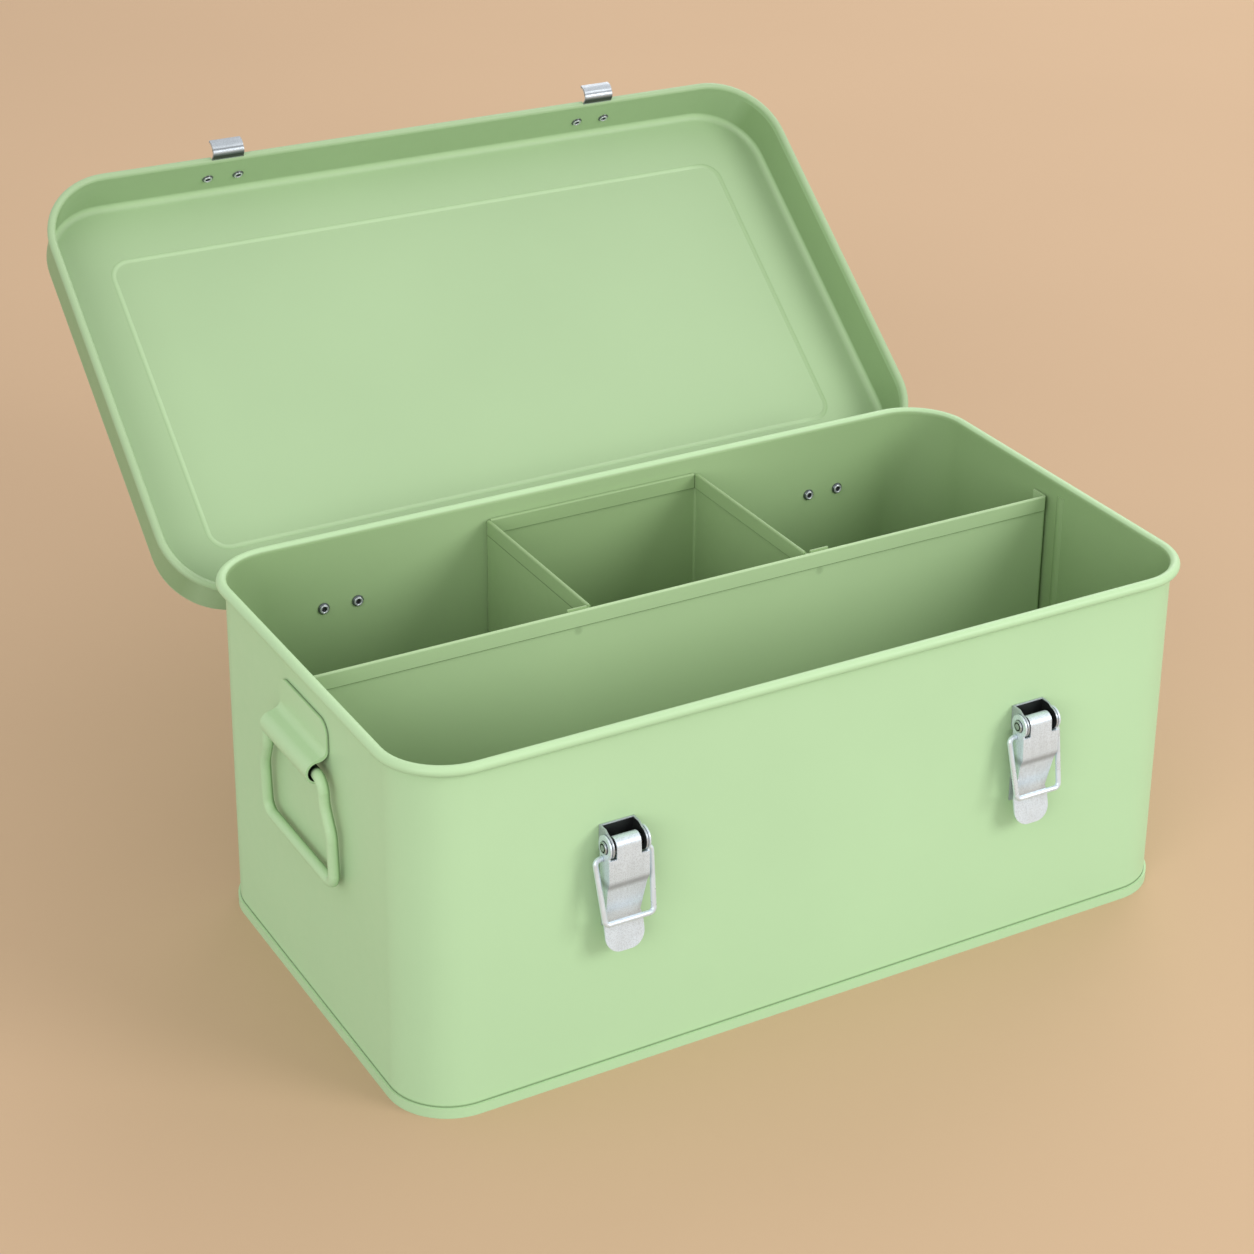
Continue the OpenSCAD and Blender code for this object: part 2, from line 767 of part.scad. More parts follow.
module hinge_body_rivets() {
    color(steel)
        for (s = [-1, 1], p = [-1, 1])
            on_back(s * hinge_x)
                translate([p * hinge_rivet_pitch / 2, 0, hinge_z - hinge_rivet_drop])
                    rivet(-wall_t - seat_gap / 2, leaf_out + seat_gap / 2, 0.9, 0.6);
}

module hinge_lid_rivets() {
    color(steel)
        lid_opened()
            for (s = [-1, 1], p = [-1, 1])
                on_back(s * hinge_x)
                    translate([p * hinge_rivet_pitch / 2, 0, hinge_z + hinge_rivet_rise])
                        rivet(lid_out - seat_gap / 2, lid_face + hinge_t + 1.5 * seat_gap, 0.5, 0.6);
}

// Side view of a latch ear
module ear_profile() {
    difference() {
        union() {
            polygon([[seat_gap, latch_pin_z - ear_r], [latch_pin_out, latch_pin_z - ear_r],
                latch_pin_at + ear_in * [cos(40), sin(40)],
                [latch_out + ear_top_out, base_top], [seat_gap, base_top]]);
            translate(latch_pin_at)
                circle(r = ear_r);
        }
        translate(latch_pin_at)
            circle(r = latch_pin_r + pin_gap, $fn = 32);
    }
}

// Latch base: a riveted tail whose wide top is bent out into two ears
module latch_base() {
    low = latch_rivet_z[1] - latch_base_end;
    color(steel)
        difference() {
            union() {
                translate([-latch_base_w / 2, seat_gap, low])
                    cube([latch_base_w, latch_t, base_top - low]);
                translate([-latch_w / 2, seat_gap, latch_pin_z - ear_r])
                    cube([latch_w, latch_t, latch_base_rise + ear_r]);
                for (s = [-1, 1])
                    translate([s * (latch_w - latch_t) / 2, 0, 0])
                        side_view(latch_t)
                            ear_profile();
            }
            for (z = latch_rivet_z)
                hole_y(0, z, -1, latch_out + 1, rivet_r + pin_gap);
        }
}

// Lever pin: a thick middle inside the tongue, thin ends, and heads with a turned ring
module latch_pin() {
    head_r = latch_pin_r + 0.9;
    ring_r = latch_pin_r + 0.2;
    ring_w = 0.4;
    ring_z = 0.35;
    rim_up = 0.1;
    core = latch_w / 2 - latch_t - seat_gap;
    reach = lever_w / 2 + seat_gap + pin_head_w;
    end = [[0, 0], [ring_r - ring_w, 0], [ring_r - ring_w, ring_z], [ring_r, ring_z],
        [ring_r, rim_up], [head_r - ring_z + rim_up, rim_up], [head_r, ring_z],
        [head_r, pin_head_w], [latch_pin_r, pin_head_w], [latch_pin_r, reach - core],
        [latch_core_r, reach - core]];
    color(pin_steel)
        translate([-reach, latch_pin_out, latch_pin_z])
            rotate([0, 90, 0])
                rotate_extrude()
                    polygon(concat(end, [for (i = [len(end) - 1:-1:0])
                        [end[i][0], 2 * reach - end[i][1]]]));
}

module latch_rivets() {
    color(steel)
        for (s = [-1, 1], z = latch_rivet_z)
            on_front(s * latch_x)
                translate([0, 0, z])
                    rivet(-wall_t - seat_gap / 2, latch_out + seat_gap / 2, 0.9, 0.7);
}

// Lever: a face that is bent in and out again, cheeks that carry the bail, and a tongue that
// is rolled round the pin
module latch_lever() {
    z1 = latch_pin_z - shoulder_drop;
    color(steel)
        difference() {
            union() {
                intersection() {
                    side_view(lever_tip_w + 1)
                        lever_sheet();
                    front_view()
                        lever_outline(z1);
                }
                side_view(lever_roll_w) {
                    intersection() {
                        lever_sheet();
                        translate([0, z1 - latch_t])
                            square([2 * latch_pin_out, shoulder_drop + latch_t]);
                    }
                    translate(latch_pin_at)
                        circle(r = roll_r);
                }
                for (s = [-1, 1])
                    intersection() {
                        side_view(lever_w)
                            cheek_profile();
                        front_view()
                            cheek_edge(s);
                    }
            }
            translate([-lever_roll_w / 2 - 0.5, latch_pin_out, latch_pin_z])
                rotate([0, 90, 0])
                    cylinder(r = roll_in, h = lever_roll_w + 1);
            translate([-lever_w, latch_pin_out, latch_pin_z])
                rotate([0, 90, 0])
                    cylinder(r = latch_pin_r + pin_gap, h = 2 * lever_w, $fn = 32);
            translate([-lever_w, bail_pivot_out, bail_pivot_z])
                rotate([0, 90, 0])
                    cylinder(r = bail_d / 2 + pin_gap, h = 2 * lever_w, $fn = 24);
        }
}

// Extrudes a front view [across, height] from the wall out past all fittings
module front_view() {
    reach = 30;
    translate([0, reach, 0])
        rotate([90, 0, 0])
            linear_extrude(reach)
                children();
}

// Lever sheet seen from the side, one sheet thick behind its front
module lever_sheet() {
    polygon(concat(lever_front,
        [for (i = [len(lever_front) - 1:-1:0]) lever_front[i] - [latch_t, 0]]));
}

// Front view of the lever face below its shoulders
module lever_outline(z1) {
    bend_z = latch_pin_z - lever_bend_drop;
    waist_z = latch_pin_z - lever_waist_drop;
    tip_z = latch_pin_z - lever_drop;
    half = lever_w / 2;
    waist = lever_waist_w / 2;
    tip = lever_tip_w / 2;
    tip_flare = 2.5;
    side = [[half, z1], [half, bend_z], [waist, waist_z], [tip, waist_z - tip_flare],
        [tip, tip_z + lever_tip_r]];
    polygon(concat(side, [for (i = [len(side) - 1:-1:0]) [-side[i][0], side[i][1]]]));
    for (s = [-1, 1])
        translate([s * (tip - lever_tip_r), tip_z + lever_tip_r])
            circle(r = lever_tip_r);
    translate([lever_tip_r - tip, tip_z])
        square([2 * (tip - lever_tip_r), lever_tip_r + joint_lap]);
}

// Side view of a lever cheek: round at the pin, deep at the bail and shallow at the waist
module cheek_profile() {
    inset = latch_t / 3;
    depth = 2 * latch_t;
    back = bail_pivot_out - bail_d / 2 - 1;
    translate(latch_pin_at)
        circle(r = ear_r);
    polygon(concat(
        [latch_pin_at - ear_in * [cos(35), sin(35)], latch_pin_at + ear_in * [cos(45), -sin(45)]],
        [for (i = [1:4]) lever_front[i] - [inset, 0]],
        [lever_front[4] + [-depth, 2 * depth], [back, bail_pivot_z - 2 * bail_d]]));
}

// Front view of the edge of a lever cheek
module cheek_edge(side) {
    waist_z = latch_pin_z - lever_waist_drop;
    outer = [[lever_w / 2, latch_pin_z + ear_r + 1],
        [lever_w / 2, latch_pin_z - lever_bend_drop], [lever_waist_w / 2, waist_z]];
    polygon(concat([for (p = outer) [side * p[0], p[1]]],
        [for (i = [len(outer) - 1:-1:0]) [side * (outer[i][0] - latch_t), outer[i][1]]]));
}

// Bail of a latch, drawn hanging: its ends turn in through the lever flanges
module latch_bail() {
    leg_x = (bail_w - bail_d) / 2;
    bar_x = (bail_bar_w - bail_d) / 2;
    taper = atan2(leg_x - bar_x, bail_len);
    end_in = leg_x - lever_w / 2 + latch_t;
    r = 2;
    wide = r * tan((90 + taper) / 2);
    tight = r * tan((90 - taper) / 2);
    leg = bail_len / cos(taper) - wide - tight;
    color(steel)
        translate([leg_x - end_in, bail_pivot_out, bail_pivot_z])
            rotate([bail_hang - 90, 0, 0])
                wire_path([[end_in - wide, 90 + taper, r], [leg, 90 - taper, r],
                    [2 * bar_x - 2 * tight, 90 - taper, r], [leg, 90 + taper, r],
                    [end_in - wide, 0, 0]], bail_d);
}

// Catch plate in the closed place of the lid, facing +Y
module catch_plate() {
    color(steel)
        difference() {
            union() {
                translate([-catch_w / 2, catch_out, catch_wide_z0])
                    cube([catch_w, catch_t, catch_top - catch_wide_z0]);
                side_view(hook_w)
                    translate([catch_out + catch_t / 2, catch_wide_z0 + 1])
                        rotate(-90)
                            sheet_path([[catch_wide_z0 + 1 - hook_bend_z, hook_turn, hook_bend_r],
                                [hook_run, hook_curl, hook_seat_r], [hook_tip, 0, 0]], catch_t);
            }
            for (p = [-1, 1])
                hole_y(p * catch_rivet_pitch / 2, lid_rim_z + catch_rivet_rise, catch_out - 1,
                    catch_out + catch_t + 1, rivet_r + pin_gap);
        }
}

module catch_rivets() {
    color(steel)
        lid_opened()
            for (s = [-1, 1], p = [-1, 1])
                on_front(s * latch_x)
                    translate([p * catch_rivet_pitch / 2, 0, lid_rim_z + catch_rivet_rise])
                        rivet(lid_out - seat_gap / 2, catch_out + catch_t + seat_gap / 2, 0.5, 0.7);
}

// Handle plate, facing +Y: it leaves the wall, rolls over the wire and ends below it
module handle_plate() {
    bend_r = 3.4;
    turn = 75;
    end_turn = 185;
    mid_r = barrel_r - handle_t / 2;
    bend_mid = bend_r + handle_t / 2;
    start_out = seat_gap + handle_t / 2;
    // The straight run joins the wall bend to the barrel
    run = (barrel_out + mid_r * cos(turn) - start_out - bend_mid * (1 - cos(turn)))
        / sin(turn);
    leave_z = barrel_z + mid_r * sin(turn) + bend_mid * sin(turn) + run * cos(turn);
    top_z = barrel_z + plate_rise;
    color(body_green)
        intersection() {
            side_view(barrel_l)
                translate([start_out, top_z])
                    rotate(-90)
                        sheet_path([[top_z - leave_z, turn, bend_r],
                            [run, -end_turn, barrel_in]], handle_t);
            front_view()
                plate_outline(top_z);
        }
}

module plate_outline(top_z) {
    r = 6;
    half = barrel_l / 2 + joint_step;
    low_z = barrel_z - 2 * barrel_r;
    translate([-half, low_z])
        square([2 * half, top_z - r - low_z]);
    translate([-half + r, top_z - r - joint_lap])
        square([2 * half - 2 * r, r + joint_lap]);
    for (s = [-1, 1])
        translate([s * (half - r), top_z - r])
            circle(r = r);
}

// Drop handle, facing +Y: one bent wire whose ends meet inside the barrel
module handle_bail() {
    r = handle_bend_r + handle_d / 2;
    spread = (handle_w - handle_neck_w) / 2;
    s_turn = 25;
    s_r = 12;
    // Straight stretch of the slope between the two S bends
    slope = (spread - 2 * s_r * (1 - cos(s_turn))) / sin(s_turn);
    s_height = 2 * s_r * sin(s_turn) + slope * cos(s_turn);
    neck = 2;
    lower = handle_drop - 2 * r - neck - s_height;
    color(body_green)
        translate([0, barrel_out, handle_wire_z])
            rotate([-handle_lean, 0, 0])
                for (s = [0, 1])
                    mirror([s, 0, 0])
                        rotate([90, 0, 0])
                            wire_path([
                                [handle_neck_w / 2 - r, -90, r],
                                [neck, s_turn, s_r],
                                [slope, -s_turn, s_r],
                                [lower, -90, r],
                                [handle_w / 2 - r, 0, 0]], handle_d);
}

body_shell();
base_pan();
main_divider();
rear_divider();
on_back(-hinge_x) hinge_body_leaf();  // hinge_body_leaf_left
on_back(hinge_x) hinge_body_leaf();  // hinge_body_leaf_right
on_back(-hinge_x) hinge_pin();  // hinge_pin_left
on_back(hinge_x) hinge_pin();  // hinge_pin_right
hinge_body_rivets();
on_front(-latch_x) latch_base();  // latch_base_left
on_front(latch_x) latch_base();  // latch_base_right
on_front(-latch_x) latch_pin();  // latch_pin_left
on_front(latch_x) latch_pin();  // latch_pin_right
latch_rivets();
on_side(-1) handle_plate();  // handle_plate_left
on_side(1) handle_plate();  // handle_plate_right
lid_shell();
lid_opened() on_back(-hinge_x) hinge_lid_leaf();  // hinge_lid_leaf_left
lid_opened() on_back(hinge_x) hinge_lid_leaf();  // hinge_lid_leaf_right
hinge_lid_rivets();
lid_opened() on_front(-latch_x) catch_plate();  // catch_plate_left
lid_opened() on_front(latch_x) catch_plate();  // catch_plate_right
catch_rivets();
on_front(-latch_x) latch_lever();  // latch_lever_left
on_front(latch_x) latch_lever();  // latch_lever_right
on_front(-latch_x) latch_bail();  // latch_bail_left
on_front(latch_x) latch_bail();  // latch_bail_right
on_side(-1) handle_bail();  // handle_bail_left
on_side(1) handle_bail();  // handle_bail_right
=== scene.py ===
"""Garden seed organizer box: camera, finishes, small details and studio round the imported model.
Lengths are in metres, in the frame of the part: +X right, -Y front, +Z up, floor at 0."""

import json
import math

import bmesh
import bpy
from mathutils import Matrix, Vector


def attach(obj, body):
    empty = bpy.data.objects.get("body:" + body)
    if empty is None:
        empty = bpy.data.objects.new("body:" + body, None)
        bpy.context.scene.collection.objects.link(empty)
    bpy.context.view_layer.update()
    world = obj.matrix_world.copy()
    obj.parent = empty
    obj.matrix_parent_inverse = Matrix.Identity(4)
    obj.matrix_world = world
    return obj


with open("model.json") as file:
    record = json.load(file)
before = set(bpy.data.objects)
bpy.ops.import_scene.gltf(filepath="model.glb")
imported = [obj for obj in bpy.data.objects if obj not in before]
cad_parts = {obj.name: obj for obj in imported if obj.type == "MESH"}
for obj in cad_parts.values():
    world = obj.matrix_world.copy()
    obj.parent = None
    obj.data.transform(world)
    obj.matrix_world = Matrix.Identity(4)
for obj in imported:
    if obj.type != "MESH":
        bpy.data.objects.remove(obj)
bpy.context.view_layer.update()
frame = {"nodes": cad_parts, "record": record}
MM = 0.001

# Photograph: a square frame, with the camera in degrees round the box and its aim on the floor
PHOTO_SIDE = 1254
FOCAL_PX = 2880.0
CENTRE_PX = (730.0, 412.2)
AZIMUTH, ELEVATION, ROLL = -31.48, 23.23, 1.42
DISTANCE = 1.6341
AIM = Vector((0.2633, 0.4142, 0.0))

# Colours as they look on screen, from 0 to 255
BODY_GREEN = (188, 219, 171)
# Painted shade colours: inside the box, and the deepest shade in the box and on the lid
INSIDE_SHADE_GREEN = (165, 192, 143)
DEEP_SHADE_GREEN = (122, 152, 98)
# Painted shade: the lid's coat is a darker copy of the body's green
LID_SHADED_GREEN = (167, 193, 149)
# Painted highlight on the lid's pressed line and shoulder bend
LID_HIGHLIGHT_GREEN = (190, 217, 172)
# Painted shade: the dividers' coats are darker copies of the body's green
LONG_SHADED_GREEN = (180, 206, 159)
CROSS_SHADED_GREEN = (152, 179, 129)
# Painted shade in creases and steps, and the darker tone of the spot welds
WELD_AND_SHADE_GREEN = (96, 120, 80)
SHADE_GREEN = (20, 36, 18)
FLOOR_TAN = (205, 174, 142)
FLOOR_BOUNCE = (176, 176, 170)
BRIGHT_STEEL = (225, 236, 245)
EAR_STEEL = (186, 193, 200)
ZINC_STEEL = (204, 209, 214)
# Painted shade: rivet heads are a darker copy of the zinc of their rolled rims
SHADED_HEAD_STEEL = (112, 118, 122)
# Dark steel: painted shade in rivet eyes, hollows, gaps and folds, and a dark ring on the pin heads
SHADE_DARK_STEEL = (44, 46, 47)

# Body sheet: half sizes to its outer face, corner radius, height of the lip below it, thickness
WALL_HALF = (170 * MM, 93 * MM)
CORNER_R = 24 * MM
BASE_LIP_H = 4.2 * MM
WALL_T = 0.8 * MM
# Heights over which the step above the lip of the base takes painted shade
STEP_Z = (BASE_LIP_H + 0.3 * MM, BASE_LIP_H + 0.9 * MM)
# Dividers: top of the fold and height of the folded hem; front face and end of the long one
DIVIDER_TOP = 138 * MM
HEM_H = 6.7 * MM
DIVIDER_FRONT = 1.9 * MM
DIVIDER_END = 167.95 * MM
# Half height of the painted shade line under the hem
HEM_LINE_HALF = 0.22 * MM
# Painted shade in the gaps at the ends of the long divider: its depth from the front face and its top
GAP_SHADE_DEPTH = 0.9 * MM
GAP_SHADE_TOP = DIVIDER_TOP - 0.5 * MM
# Spot welds that hold the rear divider to the long one
WELD_X, WELD_Z, WELD_R = 55 * MM, 129.3 * MM, 2.2 * MM
# Heights, and distances from the middle, over which the inside of the box deepens in painted shade
DEEP_Z = (45 * MM, DIVIDER_TOP)
DEEP_X = (60 * MM, 160 * MM)
# Hinge line, and the turn of the lid from closed to open
HINGE_LINE = Vector((0, 101.2 * MM, 123.9 * MM))
LID_OPEN = math.radians(-141)
# Hollow rivets: the dished eye, and the metal rolled round it
EYE_R, EYE_DEPTH, EYE_DISH = 0.97 * MM, 0.5 * MM, 0.25 * MM
ROLL_R, ROLL_T = 1.5 * MM, 0.42 * MM
# Faces of the rivet heads on the box and on the closed lid
BOX_HEAD_Y, LID_HEAD_Y = 91.25 * MM, 97.25 * MM
# Rivets of the hinges and of the catches: middle of a pair, half its pitch, and heights
HINGE_X, HINGE_HALF_PITCH = 114.7 * MM, 7.4 * MM
HINGE_BOX_Z, HINGE_LID_Z = 114.5 * MM, 134.7 * MM
CATCH_HALF_PITCH, CATCH_Z = 7 * MM, 135.5 * MM
# Line pressed into the lid: half sizes, corner radius and half width
LID_LINE_HALF = (149 * MM, 70 * MM)
LID_LINE_R, LID_LINE_W = 8 * MM, 1.5 * MM
# Latches: place along the front, lever pin as y and z, inner faces of the ears, bend of the lever
LATCH_X = 90.5 * MM
LATCH_PIN = (-99.5 * MM, 100.5 * MM)
EAR_INSIDE = 6.45 * MM
LEVER_BEND_Z = 85.4 * MM
# Distances from that bend over which the painted shade band on the lever fades
LEVER_BAND = (0.5 * MM, 2.6 * MM)
# Painted shade in the hollow between the ears: middle and half height
HOLLOW_Z, HOLLOW_HALF = LATCH_PIN[1] - 1.2 * MM, 6.6 * MM
# Dark ring painted on the heads of a lever pin, and the inside of the roll of the lever round the pin,
# which is painted shade
PIN_RING_R, PIN_RING_HALF = 1.5 * MM, 0.27 * MM
ROLL_INSIDE_R = 2.6 * MM
# Handle barrels: axis as x and z, bore radius, middle and half length
BARREL = (175 * MM, 113.5 * MM)
BARREL_BORE = 3.4 * MM
BARREL_Y, BARREL_HALF = -2.3 * MM, 20.6 * MM
# Handle plates and wires: outer face of the plate, and lean of the wire from upright
PLATE_OUT, WIRE_LEAN = 171.2 * MM, 0.024
# Distances from the middle over which the painted shade on the edge of a plate fades
PLATE_EDGE = (PLATE_OUT - 0.8 * MM, PLATE_OUT - 0.2 * MM)
# Handle wire: where it enters the barrel, how low it is held there, and the painted shade along its back
ENTRY_Y = (BARREL_HALF - 0.8 * MM, BARREL_HALF + 0.6 * MM)
HELD_LOW = BARREL[1] - 5 * MM
WIRE_BACK = (-1.4 * MM, -0.6 * MM)
# Lid when shut: heights of the shoulder bend and of the top of the rolled edge
LID_BEND_Z, LID_BEAD_TOP = 144.9 * MM, 126.2 * MM
# Distances from the shoulder bend over which its painted highlight fades
BEND_FADE = (0.4 * MM, 1.7 * MM)
# Distances from the middle over which the skirt, and the right end of the line, deepen in painted shade
SKIRT_X = (165 * MM, 170 * MM)
LINE_X = (135 * MM, 146 * MM)
# Catch plates: outer face, height below which the hook takes painted shade, and its fold, out from that
# face
CATCH_OUT, CATCH_LOW, CATCH_FOLD = 97.3 * MM, 122.4 * MM, 3.7 * MM
# Distances over which the painted shade of the root, out from that face, and of the fold fade
ROOT_FADE = (1.5 * MM, 2.3 * MM)
FOLD_FADE = (0.1 * MM, 0.6 * MM)
# Angle in degrees over which an edge stays sharp, and the one below which faces are made flat
SHARP_ANGLE, FLAT_ANGLE = 38, 0.4
# Studio: half side of the floor, aim and distance of the lamps, and light of the world
FLOOR_HALF = 6
LAMP_AIM = Vector((0, 0.05, 0.08))
LAMP_DISTANCE = 2.4
WORLD_GREY, WORLD_STRENGTH = (240, 240, 240), 0.82
# Softboxes: name, degrees from the front and from the floor, width, and power in watts
LAMPS = (
    ("key_softbox", 35, 25, 1.1, 21.6),
    ("left_softbox", -52, 22, 1.5, 17.5),
    ("right_softbox", 85, 55, 1.6, 3.5),
    ("back_softbox", 130, 35, 1.5, 13),
)


def linear(colour, strength=1.0):
    """Screen colour from 0 to 255 as the linear colour that a shader takes."""
    values = []
    for channel in colour:
        c = channel / 255
        values.append(strength * (c / 12.92 if c <= 0.04045 else ((c + 0.055) / 1.055) ** 2.4))
    return (*values, 1.0)


def add_camera():
    """Camera of the photograph, placed by its angles and distance from the aim."""
    a, e, r = (math.radians(v) for v in (AZIMUTH, ELEVATION, ROLL))
    back = Vector((math.sin(a) * math.cos(e), -math.cos(a) * math.cos(e), math.sin(e)))
    right = Vector((math.cos(a), math.sin(a), 0))
    up = back.cross(right)
    rolled_right = right * math.cos(r) + up * math.sin(r)
    rolled_up = up * math.cos(r) - right * math.sin(r)
    data = bpy.data.cameras.new("photo_camera")
    data.sensor_width = 36
    data.lens = FOCAL_PX / PHOTO_SIDE * data.sensor_width
    data.shift_x = (PHOTO_SIDE / 2 - CENTRE_PX[0]) / PHOTO_SIDE
    data.shift_y = (CENTRE_PX[1] - PHOTO_SIDE / 2) / PHOTO_SIDE
    data.clip_start, data.clip_end = 0.05, 50
    camera = bpy.data.objects.new("photo_camera", data)
    turn = Matrix((rolled_right, rolled_up, back)).transposed().to_4x4()
    camera.matrix_world = Matrix.Translation(AIM + back * DISTANCE) @ turn
    bpy.context.scene.collection.objects.link(camera)
    bpy.context.scene.camera = camera


# Materials


class Nodes:
    """Short calls for the nodes of one material."""

    def __init__(self, name):
        self.material = bpy.data.materials.new(name)
        self.material.use_nodes = True
        self.tree = self.material.node_tree
        self.shader = self.tree.nodes["Principled BSDF"]
        self.place = self.tree.nodes.new("ShaderNodeTexCoord").outputs["Object"]

    def link(self, source, target):
        self.tree.links.new(source, target)

    def noise(self, scale, detail=2.0, roughness=0.5, stretch=None):
        node = self.tree.nodes.new("ShaderNodeTexNoise")
        node.inputs["Scale"].default_value = scale
        node.inputs["Detail"].default_value = detail
        node.inputs["Roughness"].default_value = roughness
        source = self.place
        if stretch:
            mapping = self.tree.nodes.new("ShaderNodeMapping")
            mapping.inputs["Scale"].default_value = stretch
            self.link(source, mapping.inputs["Vector"])
            source = mapping.outputs["Vector"]
        self.link(source, node.inputs["Vector"])
        return node.outputs["Fac"]

    def spread(self, value, low, high, start=0.3, end=0.7):
        """Maps the range from start to end onto low to high, and holds it there beyond."""
        node = self.tree.nodes.new("ShaderNodeMapRange")
        for name, number in (("From Min", start), ("From Max", end), ("To Min", low), ("To Max", high)):
            node.inputs[name].default_value = number
        self.link(value, node.inputs["Value"])
        return node.outputs["Result"]

    def number(self, operation, *values, clamp=False):
        node = self.tree.nodes.new("ShaderNodeMath")
        node.operation, node.use_clamp = operation, clamp
        for socket, value in zip(node.inputs, values):
            if isinstance(value, (int, float)):
                socket.default_value = value
            else:
                self.link(value, socket)
        return node.outputs["Value"]

    def vector(self, operation, *values):
        node = self.tree.nodes.new("ShaderNodeVectorMath")
        node.operation = operation
        for socket, value in zip(node.inputs, values):
            if isinstance(value, tuple):
                socket.default_value = value
            else:
                self.link(value, socket)
        return node.outputs["Value" if operation == "LENGTH" else "Vector"]

    def axes(self, place=None):
        """The x, y and z of a place, or of the object's own coordinates."""
        node = self.tree.nodes.new("ShaderNodeSeparateXYZ")
        self.link(self.place if place is None else place, node.inputs["Vector"])
        return node.outputs["X"], node.outputs["Y"], node.outputs["Z"]

    def blend(self, factor, first, second):
        """Mixes two colours, of which either may come from another node."""
        node = self.tree.nodes.new("ShaderNodeMix")
        node.data_type = "RGBA"
        self.link(factor, node.inputs["Factor"])
        for socket, value in ((node.inputs[6], first), (node.inputs[7], second)):
            if isinstance(value, tuple):
                socket.default_value = value
            else:
                self.link(value, socket)
        return node.outputs[2]

    def bump(self, height, strength, depth, below=None):
        node = self.tree.nodes.new("ShaderNodeBump")
        node.inputs["Strength"].default_value = strength
        node.inputs["Distance"].default_value = depth
        self.link(height, node.inputs["Height"])
        if below:
            self.link(below, node.inputs["Normal"])
        return node.outputs["Normal"]


def radius(n, first, second):
    """Distance from an axis, from the two offsets across it."""
    return n.number("SQRT", n.number("ADD", n.number("MULTIPLY", first, first),
                                     n.number("MULTIPLY", second, second)))


def corner_reach(n, place, half, corner):
    """Distance outwards from the line on which the corner arcs of a rounded rectangle centre."""
    past = n.vector("SUBTRACT", n.vector("ABSOLUTE", place), (half[0] - corner, half[1] - corner, 0.0))
    past = n.vector("MAXIMUM", past, (0.0, 0.0, 0.0))
    return n.vector("LENGTH", n.vector("MULTIPLY", past, (1.0, 1.0, 0.0)))


def powder_coat(name, colour, marks=None):
    """Satin powder coat: faint clouding, orange peel, gentle waves and uneven gloss."""
    n = Nodes(name)
    cloud = n.spread(n.noise(7, 3), 0, 1)
    paint = n.blend(cloud, linear(colour, 0.965), linear(colour, 1.03))
    peel = n.bump(n.noise(750, 2, 0.45), 0.16, 0.06 * MM)
    relief = n.bump(n.noise(24, 1), 0.10, 0.5 * MM, peel)
    if marks:
        paint, relief = marks(n, paint, relief)
    n.link(paint, n.shader.inputs["Base Color"])
    n.link(relief, n.shader.inputs["Normal"])
    n.link(n.spread(n.noise(160, 2), 0.43, 0.53), n.shader.inputs["Roughness"])
    n.shader.inputs["Specular IOR Level"].default_value = 0.34
    n.shader.inputs["Coat Weight"].default_value = 0.06
    n.shader.inputs["Coat Roughness"].default_value = 0.32
    return n.material


def painted_deeper_shade(n, paint, down=0.15, along=0.42):
    """Painted shade inside the box, deeper towards the bottom and the ends."""
    x, _, z = n.axes()
    low = n.spread(z, down, 0, *DEEP_Z)
    end = n.spread(n.number("ABSOLUTE", x), 0, along, *DEEP_X)
    return n.blend(n.number("ADD", low, end, clamp=True), paint, linear(DEEP_SHADE_GREEN))


def inside_marks(n, paint, relief):
    """Painted shade: the coat is deeper in tone inside the box."""
    reach = corner_reach(n, n.place, WALL_HALF, CORNER_R)
    middle = CORNER_R - WALL_T / 2
    inside = n.spread(reach, 1, 0, middle - 0.2 * WALL_T, middle + 0.2 * WALL_T)
    return n.blend(inside, paint, painted_deeper_shade(n, linear(INSIDE_SHADE_GREEN))), relief


def wall_marks(n, paint, relief):
    """The body sheet gets painted shade inside, and in the step above the lip of the base."""
    _, _, z = n.axes()
    # Painted shade in the step above the lip of the base
    low = n.spread(z, 0.7, 0, *STEP_Z)
    return inside_marks(n, n.blend(low, paint, linear(WELD_AND_SHADE_GREEN)), relief)


def closed_lid(n):
    """Place on the lid as it is when the lid is shut."""
    turn = n.tree.nodes.new("ShaderNodeVectorRotate")
    turn.rotation_type = "X_AXIS"
    turn.inputs["Center"].default_value = HINGE_LINE
    turn.inputs["Angle"].default_value = -LID_OPEN
    n.link(n.place, turn.inputs["Vector"])
    return turn.outputs["Vector"]


